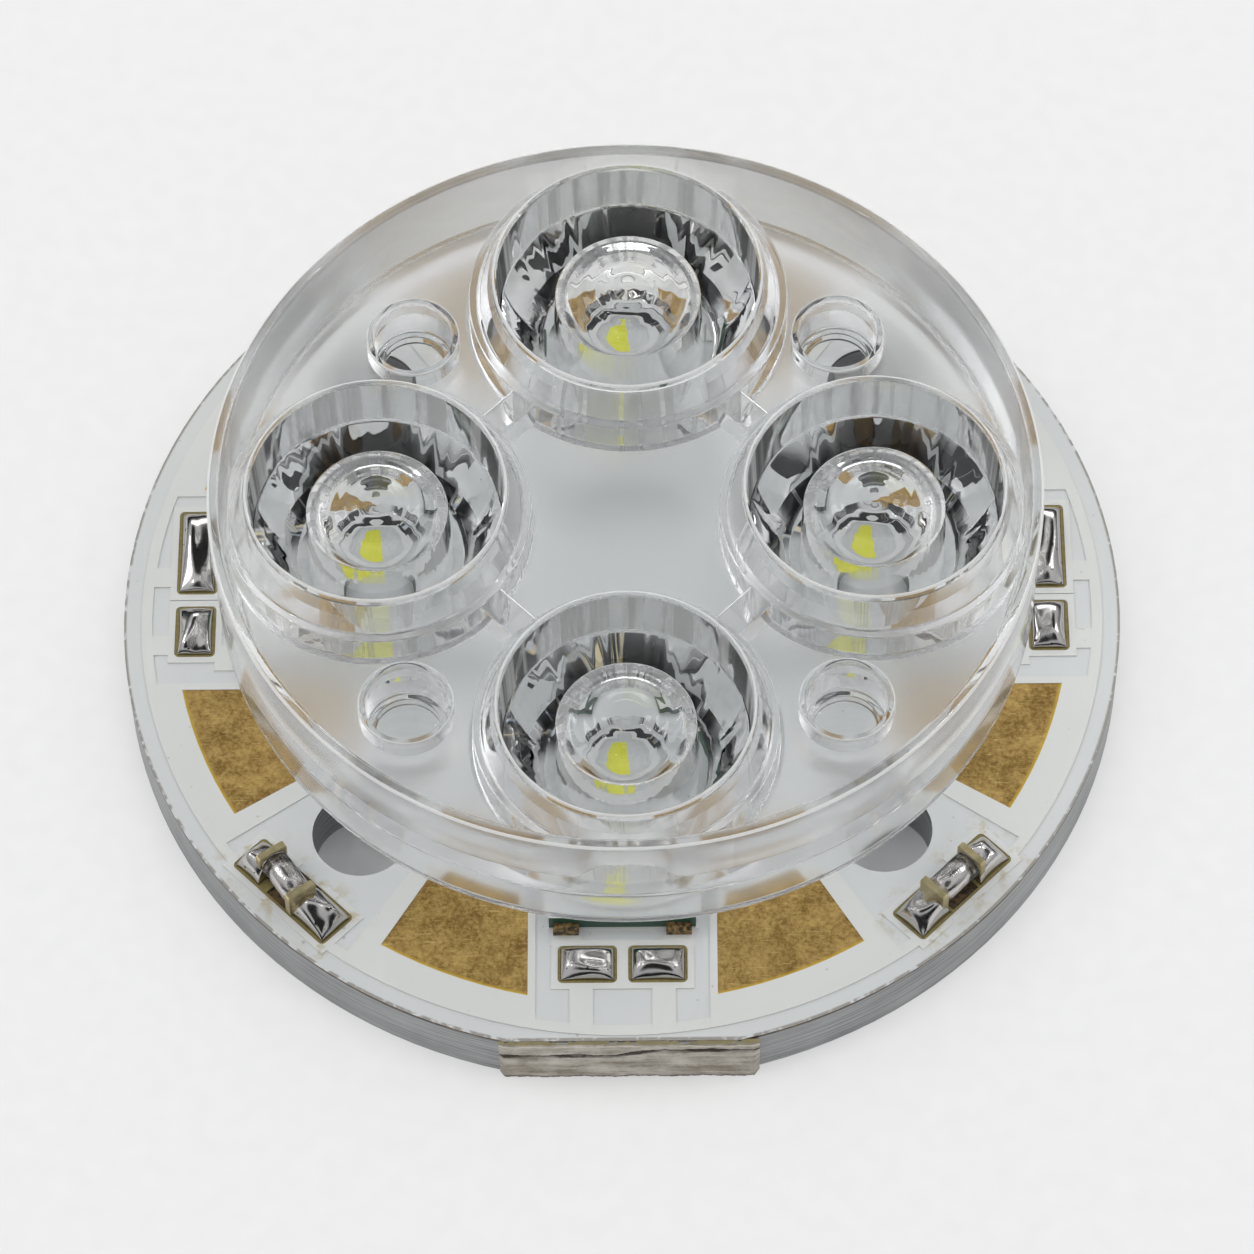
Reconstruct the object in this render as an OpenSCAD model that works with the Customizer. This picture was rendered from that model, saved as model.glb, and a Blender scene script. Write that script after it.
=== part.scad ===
// Round light engine: an aluminium board with four emitters and a clear tray of four lenses.
// Origin at the board's centre on its underside, Z up. The snapped edge faces -Y.

/* [Board] */
// Diameter of the round board
board_d = 50; // [48:0.5:52]
// Thickness of the aluminium core
core_t = 3; // [2:0.1:4]
// How far the snapped edge cuts into the round outline
break_depth = 0.65; // [0.3:0.05:1.2]
// Diameter of the four screw holes
screw_d = 4.8; // [4:0.1:5]
// Distance from the screw holes' circle in from the board's edge
screw_edge = 6.85; // [6.4:0.05:7.2]

/* [Copper] */
// Thickness of the dielectric layer
dielectric_t = 0.1; // [0.08:0.01:0.2]
// Thickness of the copper
copper_t = 0.1; // [0.07:0.01:0.2]
// Thickness of the white mask over the copper
mask_t = 0.04; // [0.03:0.01:0.1]
// Inner radius of the gold sectors
sector_inner_r = 14.6; // [14:0.1:15.5]

/* [Emitters] */
// Width of an emitter package, across the spoke
led_w = 7.15; // [6.6:0.05:7.6]
// Length of an emitter package, along the spoke
led_l = 12.1; // [11:0.1:12.4]
// Thickness of an emitter's substrate
led_t = 0.96; // [0.6:0.02:1.2]
// Outer diameter of the frame round an emitter's dome
led_ring_d = 5.8; // [5.4:0.1:5.9]
// Diameter of an emitter's dome
led_dome_d = 4.4; // [3.6:0.1:4.6]

/* [Lens tray] */
// Outer diameter of the tray at its top
tray_d = 40.7; // [40.2:0.1:42]
// Height of the tray from the lens feet to the top of its wall
tray_h = 10.6; // [10.4:0.1:12]
// Distance of each lens axis from the centre
lens_pitch = 12.16; // [12:0.02:12.3]
// Diameter of a lens's flat exit face
lens_face_d = 12.9; // [12.3:0.1:13.3]
// Diameter of the pot that carries a lens
pot_d = 15.3; // [14.8:0.1:15.6]
// Thickness of the tray's floor
floor_t = 1.5; // [1.2:0.1:1.8]
// Inner diameter of the pocket under a lens, at its mouth
pocket_d = 7.2; // [7:0.1:7.4]
// How far the tray sits off centre towards +X
tray_shift = 0.3; // [0:0.05:0.3]

/* [Diodes] */
// Length of a glass diode over its caps
diode_l = 3.4; // [3:0.1:3.8]
// Width of a diode's square caps
diode_cap_w = 1.6; // [1.4:0.05:1.8]

/* [Hidden] */
SIDES = ["front", "rear", "left", "right"];
$fn = 96;
// Overshoot of a cutting solid past the face that it opens
eps = 0.5;

// Heights of the board's layers
z_copper = core_t + dielectric_t;
z_pad = z_copper + copper_t;
z_mask = z_pad + mask_t;
// The mask sinks to this height where there is no copper under it
z_bare = z_copper + 0.7 * copper_t;
board_r = board_d / 2;
break_y = board_r - break_depth;
screw_xy = (board_r - screw_edge) * sqrt(0.5);

// Solder pads outside each emitter, in the frame of its spoke: X across, Y outwards
// Gap between an emitter and its pads: at front and rear, and at the sides
pad_gap_end = 1.02;
pad_gap_side = 2.15;
pad_len = 2.04;
pads_end = [[-3.15, -0.27], [0.27, 3.15]];
// The left and right pads are unequal: the long one lies towards the rear
pads_left = [[-2.7, 0.26], [0.97, 5.9]];
pads_right = [[-5.9, -0.97], [-0.26, 2.7]];
pad_corner = 0.25;

// Gold sectors: outer radius, distance of the straight side from the spoke, end angle
sector_outer_r = board_r - 2.6;
sector_side = 4.6;
sector_side_long = 7.2;
sector_angle = 31.6;
// Copper runs on under the mask past each sector's window
pour_margin_r = 1.1;
pour_margin_side = 0.25;
pour_margin_in = 0.3;
pour_margin_angle = 2.6;
// Thin copper ring close to the board's edge
ring_trace_r = board_r - 1.15;
ring_trace_w = 0.3;
// Width of the bare ring round each screw hole
screw_ring = 0.6;
// Flange of mask that climbs over the edge of the copper
mask_climb = 0.12;

// Diode windows on the diagonals, in a frame with X along the diode
diode_r = board_r - 2.24;
diode_window_l = 6.4;
diode_window_w = 2.17;
diode_pad_gap = 1.8;
diode_cap_t = 0.5;
diode_glass_d = 1.45;
diode_solder_w = 1.8;
diode_solder_h = 0.75;
// Solder film under the caps, which keeps a skewed cap above the mask
diode_lift = mask_t + 0.02;
// One diode was soldered slightly askew
diode_skew = 11;
// Copper round a window under the mask, and the width of the strips of a spoke
land_margin = 0.2;
strip_w = 0.9;
strip_x = 2;
strip_inner_y = 13;
land_inner_y = 6;
// The ring trace keeps this far from the snapped edge
ring_trace_gap = 0.3;
// Solder stands back from the edge of its window
solder_back = 0.22;
solder_h = 0.55;

// Emitters
z_led = z_mask;
z_seat = z_led + led_t;
led_ring_h = 0.8;
led_phosphor_w = 2.5;
led_phosphor_t = 0.3;
led_contact_w = 1.25;
led_contact_x = 2.75;
led_contact_d = 0.45;
led_contact_h = 0.5;

// Lens tray: height of its wall, and how far floor, pots and exit faces lie below its top
wall_h = 7.4;
floor_drop = 3.9;
pot_drop = 2.2;
face_drop = 0.3;
z_top = z_seat + tray_h;
z_wall = z_top - wall_h;
z_floor = z_top - floor_drop;
z_under = z_floor - floor_t;
z_pot = z_top - pot_drop;
z_face = z_top - face_drop;
wall_top_t = 0.6;
wall_foot_t = 0.8;
wall_draft = 0.1;
wall_floor_t = 1.05;
wall_round = 0.15;
pot_ledge = 0.4;
cone_d = pot_d - 2 * pot_ledge;
// Reflector curve under each lens: foot and widest radius, and the curve's power
foot_rim = 0.3;
foot_d = pocket_d + 2 * foot_rim;
bowl_d = 12.2;
bowl_power = 1.7;
bowl_steps = 10;
// Pocket: the draft and height of its wall, the rise of its dome and the power of the dome's curve
pocket_draft = 0.12;
pocket_h = 7;
dome_rise = 1.38;
dome_power = 1.3;
dome_steps = 12;
// Cups between the pots
cup_xy = 10.6;
cup_d = 4.66;
cup_bore_d = 3.9;
cup_step_d = 3.3;
cup_rise = 1.1;
cup_depth = 3;
cup_step_h = 0.5;
cup_drop = 4.4;
// Ribs between neighbouring pots
rib_w = 1.5;
rib_in = 0.4;
rib_bite = 0.8;
rib_drop = 0.12;

function spoke_angle(side) = side == "front" ? 180 : side == "rear" ? 0 : side == "left" ? 90 : -90;
function pads_of(side) = side == "left" ? pads_left : side == "right" ? pads_right : pads_end;
function pad_gap(side) = side == "front" || side == "rear" ? pad_gap_end : pad_gap_side;
function pad_outer(side) = lens_pitch + led_l / 2 + pad_gap(side) + pad_len;

// Points from the foot of the reflector up to its widest ring
function bowl_curve() = [
    for (i = [0 : bowl_steps])
        let (u = i / bowl_steps)
        [foot_d / 2 + (bowl_d - foot_d) / 2 * u, z_seat + (z_under - z_seat) * pow(u, bowl_power)]
];

// Points down the pocket's domed ceiling, from the axis to its corner with the wall
function pocket_dome() = [
    for (i = [0 : dome_steps])
        let (a = 90 * i / dome_steps)
        [
            (pocket_d / 2 - pocket_draft) * sin(a),
            z_seat + pocket_h + dome_rise * pow(cos(a), dome_power)
        ]
];

module on_spoke(side) {
    rotate([0, 0, spoke_angle(side)]) children();
}

module on_every_spoke() {
    for (side = SIDES) on_spoke(side) children();
}

// A rectangle from corner to corner with rounded corners
module rounded_pad(x0, x1, y0, y1, r) {
    translate([x0 + r, y0]) square([x1 - x0 - 2 * r, y1 - y0]);
    translate([x0, y0 + r]) square([x1 - x0, y1 - y0 - 2 * r]);
    for (x = [x0 + r, x1 - r], y = [y0 + r, y1 - r]) {
        translate([x, y]) circle(r);
    }
}

// The round outline with its snapped edge
module board_outline() {
    intersection() {
        circle(board_r, $fn = 180);
        translate([-board_r - 1, -break_y]) square([board_d + 2, break_y + board_r + 1]);
    }
}

module screw_circles(d) {
    for (x = [-screw_xy, screw_xy], y = [-screw_xy, screw_xy]) {
        translate([x, y]) circle(d = d);
    }
}

module board_layer(z, t) {
    translate([0, 0, z]) linear_extrude(t) difference() {
        board_outline();
        screw_circles(screw_d);
    }
}

// One sector to the right of its spoke, grown by g on every side
module sector(side_x, r_in, r_out, angle, g) {
    intersection() {
        difference() {
            circle(r_out + g, $fn = 180);
            circle(r_in - g);
        }
        polygon([
            [side_x - g, 0],
            [side_x - g, board_d],
            [board_d * sin(angle), board_d * cos(angle)] + g * [cos(angle), -sin(angle)],
            g * [cos(angle), -sin(angle)]
        ]);
    }
}

// Two sectors per spoke: g = 0 draws the gold windows
module sectors(r_in, r_out, side_margin, end_margin, g) {
    for (side = SIDES) {
        rear_side = side == "left" || side == "right" ? sector_side_long : sector_side;
        right_x = side == "left" ? rear_side : sector_side;
        left_x = side == "right" ? rear_side : sector_side;
        on_spoke(side) {
            sector(right_x - side_margin, r_in, r_out, sector_angle + end_margin, g);
            mirror([1, 0]) sector(left_x - side_margin, r_in, r_out, sector_angle + end_margin, g);
        }
    }
}

module sector_windows() {
    sectors(sector_inner_r, sector_outer_r, 0, 0, 0);
}

module sector_pours(g) {
    sectors(
        sector_inner_r - pour_margin_in, sector_outer_r + pour_margin_r,
        pour_margin_side, pour_margin_angle, g
    );
}

// Windows over the solder pads outside the emitters
module pad_windows() {
    for (side = SIDES) on_spoke(side) {
        for (p = pads_of(side)) {
            rounded_pad(p[0], p[1], pad_outer(side) - pad_len, pad_outer(side), pad_corner);
        }
    }
}

// Copper of one spoke: solder pads, their strips and the land under the emitter
module spoke_copper(side, g) {
    on_spoke(side) {
        edge = land_margin + g;
        outer = pad_outer(side);
        for (p = pads_of(side)) {
            translate([p[0] - edge, outer - pad_len - edge])
                square([p[1] - p[0] + 2 * edge, pad_len + 2 * edge]);
        }
        for (s = [-1, 1]) {
            translate([s * led_contact_x - led_contact_w / 2 - g, strip_inner_y])
                square([led_contact_w + 2 * g, outer - pad_len - strip_inner_y]);
            translate([s * strip_x - strip_w / 2 - g, outer])
                square([strip_w + 2 * g, ring_trace_r - outer]);
        }
        translate([-led_w / 2 - g, land_inner_y - g])
            square([led_w + 2 * g, lens_pitch + led_l / 2 - land_inner_y + 2 * g]);
    }
}

module led_contact_windows() {
    on_every_spoke() for (s = [-1, 1]) {
        translate([s * led_contact_x - led_contact_w / 2, lens_pitch + led_l / 2])
            square([led_contact_w, led_contact_d]);
    }
}

module diode_frame(x_sign, y_sign) {
    rotate([0, 0, atan2(y_sign, x_sign)]) translate([diode_r, 0]) rotate([0, 0, 90]) children();
}

module on_every_diode() {
    for (x = [-1, 1], y = [-1, 1]) diode_frame(x, y) children();
}

module diode_windows() {
    on_every_diode() {
        rounded_pad(
            -diode_window_l / 2, diode_window_l / 2, -diode_window_w / 2, diode_window_w / 2, pad_corner
        );
    }
}

// Two pads under each diode, with a bare gap between them
module diode_copper(g) {
    edge = land_margin + g;
    pad_l = (diode_window_l - diode_pad_gap) / 2;
    on_every_diode() for (s = [0, 1]) mirror([s, 0]) {
        translate([diode_pad_gap / 2 - g, -diode_window_w / 2 - edge])
            square([pad_l + g + edge, diode_window_w + 2 * edge]);
    }
}

module ring_trace(g) {
    intersection() {
        difference() {
            circle(ring_trace_r + ring_trace_w / 2 + g, $fn = 180);
            circle(ring_trace_r - ring_trace_w / 2 - g, $fn = 180);
        }
        translate([-board_r, -break_y + ring_trace_gap - g]) square([board_d, break_y + board_r]);
    }
}

// All copper, grown by g; none comes near the screw holes or past the board
module copper_outline(g) {
    difference() {
        intersection() {
            union() {
                sector_pours(g);
                for (side = SIDES) spoke_copper(side, g);
                diode_copper(g);
                ring_trace(g);
            }
            board_outline();
        }
        screw_circles(screw_d + 2 * screw_ring - 2 * g);
    }
}

module core_plate() {
    color([0.66, 0.66, 0.67]) board_layer(0, core_t);
}

module dielectric_layer() {
    color([0.42, 0.36, 0.24]) board_layer(core_t, dielectric_t);
}

module copper_tracks() {
    color([0.62, 0.48, 0.24]) translate([0, 0, z_copper]) linear_extrude(copper_t) copper_outline(0);
}

// The mask lies low on the bare dielectric and climbs over the copper
module solder_mask() {
    color([0.84, 0.87, 0.88]) difference() {
        union() {
            board_layer(z_copper, z_bare - z_copper);
            translate([0, 0, z_copper]) linear_extrude(z_mask - z_copper) copper_outline(mask_climb);
        }
        translate([0, 0, z_copper - eps]) linear_extrude(copper_t + eps) copper_outline(0);
        translate([0, 0, z_copper - eps]) linear_extrude(2 * eps) {
            sector_windows();
            pad_windows();
            diode_windows();
            led_contact_windows();
        }
    }
}

module led_substrate(side) {
    color([0.13, 0.22, 0.17]) on_spoke(side)
        translate([-led_w / 2, lens_pitch - led_l / 2, z_led]) cube([led_w, led_l, led_t]);
}

// Solder fillets at both outer corners of an emitter package
module led_contacts(side) {
    color([0.45, 0.36, 0.22]) on_spoke(side) for (s = [-1, 1]) {
        translate([s * led_contact_x - led_contact_w / 2, lens_pitch + led_l / 2, z_pad])
            cube([led_contact_w, led_contact_d, led_contact_h]);
    }
}

module led_ring(side) {
    color([0.86, 0.86, 0.84]) on_spoke(side) translate([0, lens_pitch, z_seat]) difference() {
        cylinder(h = led_ring_h, d = led_ring_d);
        translate([0, 0, -eps]) cylinder(h = led_ring_h + 2 * eps, d = led_dome_d);
    }
}

module phosphor_block() {
    translate([-led_phosphor_w / 2, -led_phosphor_w / 2, 0])
        cube([led_phosphor_w, led_phosphor_w, led_phosphor_t]);
}

module led_phosphor(side) {
    color([0.88, 0.87, 0.3]) on_spoke(side) translate([0, lens_pitch, z_seat]) phosphor_block();
}

// A clear dome that fills the frame and covers the phosphor
module led_dome(side) {
    color([0.9, 0.92, 0.92, 0.5]) on_spoke(side) translate([0, lens_pitch, z_seat]) difference() {
        rotate_extrude() union() {
            square([led_dome_d / 2, led_ring_h]);
            intersection() {
                translate([0, led_ring_h]) circle(d = led_dome_d);
                translate([0, led_ring_h]) square([led_dome_d, led_dome_d]);
            }
        }
        phosphor_block();
    }
}

// A pillow of solder on a rectangular pad: where two lying cylinders cross
module solder_pillow(x0, x1, y0, y1, h) {
    wx = x1 - x0;
    wy = y1 - y0;
    rx = (wx * wx / 4 + h * h) / (2 * h);
    ry = (wy * wy / 4 + h * h) / (2 * h);
    translate([(x0 + x1) / 2, (y0 + y1) / 2, 0]) intersection() {
        translate([0, 0, h - rx]) rotate([90, 0, 0]) cylinder(h = wy, r = rx, center = true);
        translate([0, 0, h - ry]) rotate([0, 90, 0]) cylinder(h = wx, r = ry, center = true);
        translate([-wx / 2, -wy / 2, 0]) cube([wx, wy, h]);
    }
}

module solder_joints(side) {
    y1 = pad_outer(side) - solder_back;
    y0 = pad_outer(side) - pad_len + solder_back;
    color([0.78, 0.78, 0.78]) on_spoke(side) translate([0, 0, z_pad]) for (p = pads_of(side)) {
        solder_pillow(p[0] + solder_back, p[1] - solder_back, y0, y1, solder_h);
    }
}

module place_diode(x_sign, y_sign) {
    askew = x_sign < 0 && y_sign < 0;
    diode_frame(x_sign, y_sign)
        translate([0, 0, z_pad + diode_lift + diode_cap_w / 2])
            rotate([0, 0, askew ? diode_skew : 0]) children();
}

module diode_glass(x_sign, y_sign) {
    color([0.75, 0.76, 0.76, 0.6]) place_diode(x_sign, y_sign) rotate([0, 90, 0])
        cylinder(h = diode_l - 2 * diode_cap_t, d = diode_glass_d, center = true);
}

module diode_caps(x_sign, y_sign) {
    color([0.62, 0.6, 0.5]) place_diode(x_sign, y_sign) for (s = [0, 1]) mirror([s, 0, 0]) {
        translate([diode_l / 2 - diode_cap_t, -diode_cap_w / 2, -diode_cap_w / 2])
            cube([diode_cap_t, diode_cap_w, diode_cap_w]);
    }
}

// Solder between each cap and the end of the window: it runs under the cap and wets its end face
module diode_solder(x_sign, y_sign) {
    x0 = diode_l / 2 - diode_cap_t;
    x1 = diode_window_l / 2 - solder_back;
    color([0.75, 0.74, 0.72]) difference() {
        diode_frame(x_sign, y_sign) translate([0, 0, z_pad]) for (s = [0, 1]) mirror([s, 0, 0]) {
            solder_pillow(x0, x1, -diode_solder_w / 2, diode_solder_w / 2, diode_solder_h);
        }
        place_diode(x_sign, y_sign) translate([-diode_l / 2, -diode_window_w, -diode_cap_w / 2])
            cube([diode_l, 2 * diode_window_w, 2 * diode_cap_w]);
    }
}

// Wall and floor of the tray in section
module tray_section() {
    r = tray_d / 2;
    polygon([
        [0, z_under],
        [r - wall_floor_t - wall_draft, z_under],
        [r - wall_draft - wall_foot_t, z_wall],
        [r - wall_draft, z_wall],
        [r, z_top - wall_round],
        [r - wall_round, z_top],
        [r - wall_top_t + wall_round, z_top],
        [r - wall_top_t, z_top - wall_round],
        [r - wall_floor_t, z_floor],
        [0, z_floor]
    ]);
}

// One lens in section: reflector bowl, pot, cone and flat exit face
module lens_section() {
    polygon(concat(
        [[0, z_seat]],
        bowl_curve(),
        [
            [pot_d / 2, z_under],
            [pot_d / 2, z_pot],
            [cone_d / 2, z_pot],
            [lens_face_d / 2, z_face],
            [0, z_face]
        ]
    ));
}

module pocket_section() {
    polygon(concat(
        [[0, z_seat - eps]],
        pocket_dome(),
        [[pocket_d / 2, z_seat], [pocket_d / 2, z_seat - eps]]
    ));
}

module on_every_lens() {
    for (a = [0 : 90 : 270]) rotate([0, 0, a]) translate([0, lens_pitch, 0]) children();
}

module on_every_cup() {
    for (x = [-cup_xy, cup_xy], y = [-cup_xy, cup_xy]) translate([x, y, 0]) children();
}

// A rib ties each pot to the next one, just below the pots' tops
module ribs() {
    span = lens_pitch * sqrt(2) - pot_d + 2 * rib_bite;
    z0 = z_floor - floor_t / 2;
    for (a = [45 : 90 : 315]) rotate([0, 0, a]) {
        translate([lens_pitch * sqrt(0.5) - rib_in - rib_w / 2, -span / 2, z0])
            cube([rib_w, span, z_pot - rib_drop - z0]);
    }
}

module lens_tray() {
    color([0.9, 0.91, 0.92, 0.35]) translate([tray_shift, 0, 0]) difference() {
        union() {
            rotate_extrude($fn = 180) tray_section();
            on_every_lens() rotate_extrude() lens_section();
            ribs();
            on_every_cup() translate([0, 0, z_floor + cup_rise - cup_drop]) cylinder(h = cup_drop, d = cup_d);
        }
        on_every_lens() rotate_extrude() pocket_section();
        on_every_cup() {
            translate([0, 0, z_floor + cup_rise - cup_depth + cup_step_h])
                cylinder(h = cup_depth, d = cup_bore_d);
            translate([0, 0, z_floor + cup_rise - cup_depth]) cylinder(h = cup_depth, d = cup_step_d);
        }
    }
}

core_plate();
dielectric_layer();
copper_tracks();
solder_mask();
led_substrate("front");  // led_substrate_front
led_substrate("rear");  // led_substrate_rear
led_substrate("left");  // led_substrate_left
led_substrate("right");  // led_substrate_right
led_contacts("front");  // led_contacts_front
led_contacts("rear");  // led_contacts_rear
led_contacts("left");  // led_contacts_left
led_contacts("right");  // led_contacts_right
led_ring("front");  // led_ring_front
led_ring("rear");  // led_ring_rear
led_ring("left");  // led_ring_left
led_ring("right");  // led_ring_right
led_phosphor("front");  // led_phosphor_front
led_phosphor("rear");  // led_phosphor_rear
led_phosphor("left");  // led_phosphor_left
led_phosphor("right");  // led_phosphor_right
led_dome("front");  // led_dome_front
led_dome("rear");  // led_dome_rear
led_dome("left");  // led_dome_left
led_dome("right");  // led_dome_right
solder_joints("front");  // solder_joints_front
solder_joints("rear");  // solder_joints_rear
solder_joints("left");  // solder_joints_left
solder_joints("right");  // solder_joints_right
diode_glass(-1, -1);  // diode_glass_front_left
diode_glass(1, -1);  // diode_glass_front_right
diode_glass(-1, 1);  // diode_glass_rear_left
diode_glass(1, 1);  // diode_glass_rear_right
diode_caps(-1, -1);  // diode_caps_front_left
diode_caps(1, -1);  // diode_caps_front_right
diode_caps(-1, 1);  // diode_caps_rear_left
diode_caps(1, 1);  // diode_caps_rear_right
diode_solder(-1, -1);  // diode_solder_front_left
diode_solder(1, -1);  // diode_solder_front_right
diode_solder(-1, 1);  // diode_solder_rear_left
diode_solder(1, 1);  // diode_solder_rear_right
lens_tray();
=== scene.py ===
# %% [markdown]
# # A round light engine
# The object is a small aluminium board with four emitters, under a clear moulded tray with four
# lenses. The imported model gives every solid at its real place. This script keeps the flat plates as
# they are, gives each one a finish, and swaps the pieces whose looks depend on smooth curves (the
# clear tray, the domes, the solder, the glass diodes) for finer surfaces worked out with numpy.

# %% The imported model
import math

import bpy
import numpy as np
from mathutils import Matrix, Vector


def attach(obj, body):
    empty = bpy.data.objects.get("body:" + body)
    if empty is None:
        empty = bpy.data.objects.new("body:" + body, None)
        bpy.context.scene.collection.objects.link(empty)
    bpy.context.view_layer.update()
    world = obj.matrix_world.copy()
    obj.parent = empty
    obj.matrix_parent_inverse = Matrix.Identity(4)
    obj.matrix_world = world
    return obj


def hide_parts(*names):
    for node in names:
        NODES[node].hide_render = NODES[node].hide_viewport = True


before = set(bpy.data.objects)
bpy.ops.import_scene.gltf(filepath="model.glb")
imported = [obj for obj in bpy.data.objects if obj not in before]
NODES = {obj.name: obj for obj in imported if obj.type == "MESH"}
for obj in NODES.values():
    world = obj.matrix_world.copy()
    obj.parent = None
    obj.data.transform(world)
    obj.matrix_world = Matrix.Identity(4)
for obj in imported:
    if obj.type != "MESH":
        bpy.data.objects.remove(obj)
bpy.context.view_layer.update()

MM = 0.001

# %% [markdown]
# ## The camera
# The photograph was taken from in front and well above, with a long lens. A pinhole camera was
# fitted to the board's round outline, its screw holes and the rims of the tray. Here the fitted
# pitch, distance, turn and roll are turned into a camera object. No shift is needed, because the
# lens axis passes through the middle of the picture.

# %% The camera
pitch, turn, roll = 1.02487, -0.014543, 0.020402
reach = 300 * MM
side_step, depth_step = 0.25137 * MM, 0.81688 * MM
right = Vector((1, 0, 0))
up = Vector((0, math.sin(pitch), math.cos(pitch)))
back = Vector((0, -math.cos(pitch), math.sin(pitch)))
around = Matrix.Rotation(-turn, 3, "Z")
axes = [
    around @ (right * math.cos(roll) - up * math.sin(roll)),
    around @ (right * math.sin(roll) + up * math.cos(roll)),
    around @ back,
]
eye = around @ (back * reach + Vector((side_step, depth_step, 0)))
camera = bpy.data.objects.new("camera", bpy.data.cameras.new("camera"))
camera.matrix_world = Matrix.Translation(eye) @ Matrix(axes).transposed().to_4x4()
camera.data.sensor_width = 36
camera.data.lens = 169.63
camera.data.clip_start, camera.data.clip_end = 0.01, 10
bpy.context.scene.collection.objects.link(camera)
bpy.context.scene.camera = camera
print("camera at", [round(v / MM, 1) for v in eye], "mm")

# %% [markdown]
# ## Writing shader maths as Python
# A finish is easier to read as an expression than as a list of nodes. `Wire` wraps one output
# socket and overloads the operators, so `1 - mask * 0.5` adds the Math nodes for it. `Paint` holds
# one node tree. Its method `node` adds any node: the settings come first, then the values or wires
# of its inputs.

# %% Wires and paints
class Wire:
    """One output socket; arithmetic on it adds Math nodes to its tree."""

    def __init__(self, paint, socket):
        self.paint, self.socket = paint, socket

    def math(self, operation, *values, clamp=False):
        settings = {"operation": operation, "use_clamp": clamp}
        return self.paint.node("ShaderNodeMath", settings, *values)

    def __add__(self, other):
        return self.math("ADD", self, other)

    def __sub__(self, other):
        return self.math("SUBTRACT", self, other)

    def __rsub__(self, other):
        return self.math("SUBTRACT", other, self)

    def __mul__(self, other):
        return self.math("MULTIPLY", self, other)

    def __truediv__(self, other):
        return self.math("DIVIDE", self, other)

    def __gt__(self, other):
        return self.math("GREATER_THAN", self, other)

    def __lt__(self, other):
        return self.math("LESS_THAN", self, other)

    def __abs__(self):
        return self.math("ABSOLUTE", self)

    __radd__, __rmul__ = __add__, __mul__

    def least(self, other):
        return self.math("MINIMUM", self, other)

    def most(self, other):
        return self.math("MAXIMUM", self, other)

    def root(self):
        return self.math("SQRT", self)

    def step(self, low, high):
        """0 below low, 1 above high and a smooth ramp between them."""
        settings = {"interpolation_type": "SMOOTHSTEP"}
        return self.paint.node("ShaderNodeMapRange", settings, self, low, high, 0.0, 1.0)


class Paint:
    """A node tree that is being written, with short names for the nodes used most."""

    def __init__(self, tree):
        self.tree = tree
        tree.nodes.clear()

    def node(self, kind, settings=None, *values, out=0, **named):
        made = self.tree.nodes.new(kind)
        for key, value in (settings or {}).items():
            setattr(made, key, value)
        for key, value in [*enumerate(values), *named.items()]:
            socket = made.inputs[key.replace("_", " ") if isinstance(key, str) else key]
            if isinstance(value, Wire):
                self.tree.links.new(value.socket, socket)
            elif value is not None:
                socket.default_value = value
        return Wire(self, made.outputs[out]) if made.outputs else made

    def place(self):
        """The place on the object in metres."""
        return self.node("ShaderNodeTexCoord", out="Object")

    def parts(self, vector):
        """A vector's three parts."""
        made = self.node("ShaderNodeSeparateXYZ", None, vector).socket.node
        return [Wire(self, socket) for socket in made.outputs]

    def axes(self, vector):
        """A vector's three parts, scaled to millimetres."""
        return self.parts(self.scaled(vector, 1 / MM))

    def rays(self, *kinds):
        """One wire for each kind of ray, such as Is Camera Ray: 1 where the ray is of that kind."""
        made = self.node("ShaderNodeLightPath").socket.node
        return [Wire(self, made.outputs[kind]) for kind in kinds]

    def scaled(self, vector, factor):
        factors = factor if isinstance(factor, tuple) else (factor,) * 3
        return self.node("ShaderNodeVectorMath", {"operation": "MULTIPLY"}, vector, factors)

    def joined(self, x, y, z):
        return self.node("ShaderNodeCombineXYZ", None, x, y, z)

    def noise(self, vector, scale, detail=3.0, roughness=0.55):
        """Soft noise from 0 to 1; scale counts its waves per unit of the vector."""
        return self.node(
            "ShaderNodeTexNoise", None, Vector=vector, Scale=scale, Detail=detail, Roughness=roughness
        )

    def mix(self, factor, a, b):
        """Colour a where the factor is 0 and colour b where it is 1."""
        kind = {"data_type": "RGBA"}
        return self.node("ShaderNodeMix", kind, factor, None, None, None, None, None, a, b, out=2)

    def bump(self, height, distance, strength=1.0):
        """A normal from a height that runs from 0 to 1, with 1 standing distance metres proud."""
        return self.node("ShaderNodeBump", None, strength, distance, Height=height)


def rgb(red, green, blue):
    """A colour written as on a screen, 0 to 255, as the linear colour that a shader wants."""
    c = np.array([red, green, blue]) / 255
    linear = np.where(c <= 0.04045, c / 12.92, ((c + 0.055) / 1.055) ** 2.4)
    return (*linear.tolist(), 1.0)


def new_finish(name):
    """An empty material and the paint for its tree."""
    material = bpy.data.materials.new(name)
    material.use_nodes = True
    return material, Paint(material.node_tree)


def surface(paint, **sockets):
    """Ends a tree in a Principled shader with the given sockets."""
    shader = paint.node("ShaderNodeBsdfPrincipled", None, **sockets)
    paint.node("ShaderNodeOutputMaterial", None, shader)
    return shader


def dress(material, *names):
    """Gives CAD nodes a finish."""
    for name in names:
        for slot in NODES[name].material_slots:
            slot.material = material

# %% [markdown]
# ## Studio
# A pale floor, a bright surround, three soft boxes and two small lamps for the sparks on solder and
# lenses. The surround is what polished metal and clear plastic show: it is pale, like the floor,
# but dark strips low in front and low behind, and dark patches behind the camera and opposite it,
# give the solder and the lenses their black accents, as a dark room round a small light tent does.

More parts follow.
